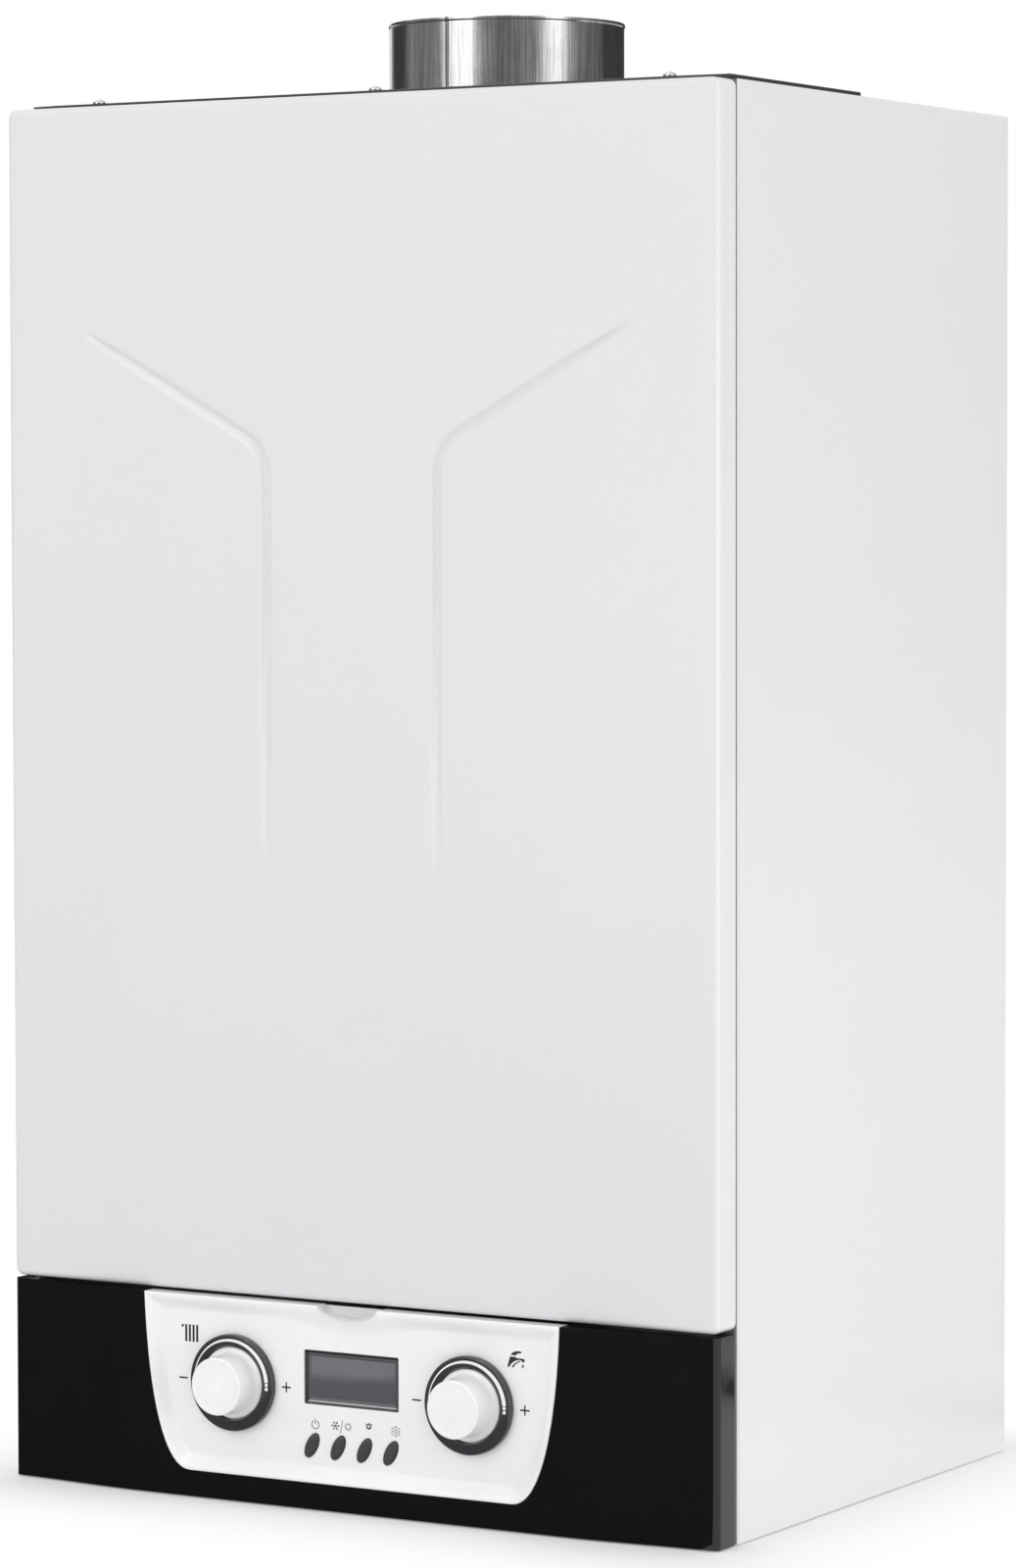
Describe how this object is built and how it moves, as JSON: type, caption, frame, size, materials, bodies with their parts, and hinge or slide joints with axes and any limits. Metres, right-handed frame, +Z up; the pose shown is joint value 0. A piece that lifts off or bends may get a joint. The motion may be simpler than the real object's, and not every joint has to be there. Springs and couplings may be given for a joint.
{
  "type": "gas boiler",
  "caption": "Wall-hung open-flued gas boiler: white steel casing, dark control fascia with knobs, display and keys, round flue collar.",
  "frame": {"origin": "centre of the overall outline in plan, on the level of the casing's lower edges", "axes": "+Z up, -Y out of the front, +X to the right of someone facing the front, +Y into the wall"},
  "size_m": [0.423, 0.347, 0.766],
  "materials": {
    "panel_white": "satin powder coat",
    "zinc_steel": "galvanised sheet",
    "dark_cover": "satin",
    "screw_chrome": "polished",
    "stainless": "bright rolled",
    "dark_plastic": "moulded",
    "copper": "drawn copper",
    "sight_glass": "clear",
    "ceramic_white": "fired ceramic",
    "fibre_board": "pressed fibre",
    "burner_steel": "heat tinted",
    "cast_alloy": "die cast",
    "vessel_red": "gloss enamel",
    "brass": "hot pressed",
    "pump_body": "painted casting",
    "cap_red": "moulded",
    "fascia_black": "polished black",
    "control_white": "polished white",
    "cup_clear": "clear grey",
    "window_grey": "smoked",
    "board_green": "lacquered laminate",
    "box_grey": "moulded",
    "ring_grey": "polished dark grey",
    "knob_white": "polished white",
    "button_grey": "fine texture"
  },
  "bodies": {
    "casing": {"back_plate": "zinc_steel", "side_panel_left": "panel_white", "side_panel_right": "panel_white", "top_cover_front": "dark_cover", "top_cover_rear": "zinc_steel", "top_screw_1": "screw_chrome", "top_screw_2": "screw_chrome", "top_screw_3": "screw_chrome", "flue_collar": "stainless", "draught_hood": "zinc_steel", "flue_thermostat": "dark_plastic", "heat_exchanger": "copper", "combustion_chamber": "zinc_steel", "chamber_lining": "fibre_board", "chamber_cover": "zinc_steel", "sight_glass": "sight_glass", "spark_electrode": "ceramic_white", "burner": "burner_steel", "gas_bar": "zinc_steel", "gas_pipe": "copper", "gas_valve": "cast_alloy", "expansion_vessel": "vessel_red", "vessel_pipe": "copper", "bottom_rail": "zinc_steel", "heating_flow_tail": "brass", "hot_water_tail": "brass", "gas_tail": "brass", "cold_water_tail": "brass", "heating_return_tail": "brass", "flow_block": "brass", "return_block": "brass", "diverter_drive": "dark_plastic", "plate_exchanger": "stainless", "pump": "pump_body", "air_vent": "brass", "flow_pipe": "copper", "return_pipe": "copper", "safety_valve": "brass", "hinge_arm_left": "zinc_steel", "hinge_arm_right": "zinc_steel"},
    "front_cover": {"front_panel": "panel_white"},
    "control_fascia": {"fascia": "fascia_black", "control_panel": "control_white", "finger_cup": "cup_clear", "display_window": "window_grey", "circuit_board": "board_green", "control_box": "box_grey", "cable_gland": "dark_plastic", "knob_ring_left": "ring_grey", "knob_ring_right": "ring_grey"},
    "heating_control": {"heating_knob": "knob_white"},
    "hot_water_control": {"hot_water_knob": "knob_white"},
    "power_key": {"power_button": "button_grey"},
    "season_key": {"season_button": "button_grey"},
    "economy_key": {"economy_button": "button_grey"},
    "settings_key": {"settings_button": "button_grey"},
    "safety_cap": {"safety_valve_cap": "cap_red"},
    "filling_tap": {"filling_knob": "dark_plastic"}
  },
  "joints": [
    {"name": "front_cover_off", "type": "slide", "parent": "casing", "child": "front_cover", "axis": [0, -1, 0], "range_m": [0, 0.08]},
    {"name": "fascia_tilt", "type": "hinge", "parent": "casing", "child": "control_fascia", "pos_m": [0, -0.148, 0.006], "axis": [1, 0, 0], "range_deg": [0, 80]},
    {"name": "heating_turn", "type": "hinge", "parent": "control_fascia", "child": "heating_control", "pos_m": [-0.071, -0.154, 0.061], "axis": [0, 1, 0], "range_deg": [0, 185]},
    {"name": "hot_water_turn", "type": "hinge", "parent": "control_fascia", "child": "hot_water_control", "pos_m": [0.071, -0.154, 0.061], "axis": [0, 1, 0], "range_deg": [0, 185]},
    {"name": "power_press", "type": "slide", "parent": "control_fascia", "child": "power_key", "axis": [0, 1, 0], "range_m": [0, 0.0012], "stiffness_N_per_m": 600, "springref_m": -0.001},
    {"name": "season_press", "type": "slide", "parent": "control_fascia", "child": "season_key", "axis": [0, 1, 0], "range_m": [0, 0.0012], "stiffness_N_per_m": 600, "springref_m": -0.001},
    {"name": "economy_press", "type": "slide", "parent": "control_fascia", "child": "economy_key", "axis": [0, 1, 0], "range_m": [0, 0.0012], "stiffness_N_per_m": 600, "springref_m": -0.001},
    {"name": "settings_press", "type": "slide", "parent": "control_fascia", "child": "settings_key", "axis": [0, 1, 0], "range_m": [0, 0.0012], "stiffness_N_per_m": 600, "springref_m": -0.001},
    {"name": "safety_cap_turn", "type": "hinge", "parent": "casing", "child": "safety_cap", "pos_m": [0.13, 0.046, 0.084], "axis": [0, 1, 0], "range_deg": [-90, 0]},
    {"name": "filling_turn", "type": "hinge", "parent": "casing", "child": "filling_tap", "pos_m": [0.0975, 0.098, 0.02], "axis": [0, 0, 1], "range_deg": [0, 270]}
  ]
}
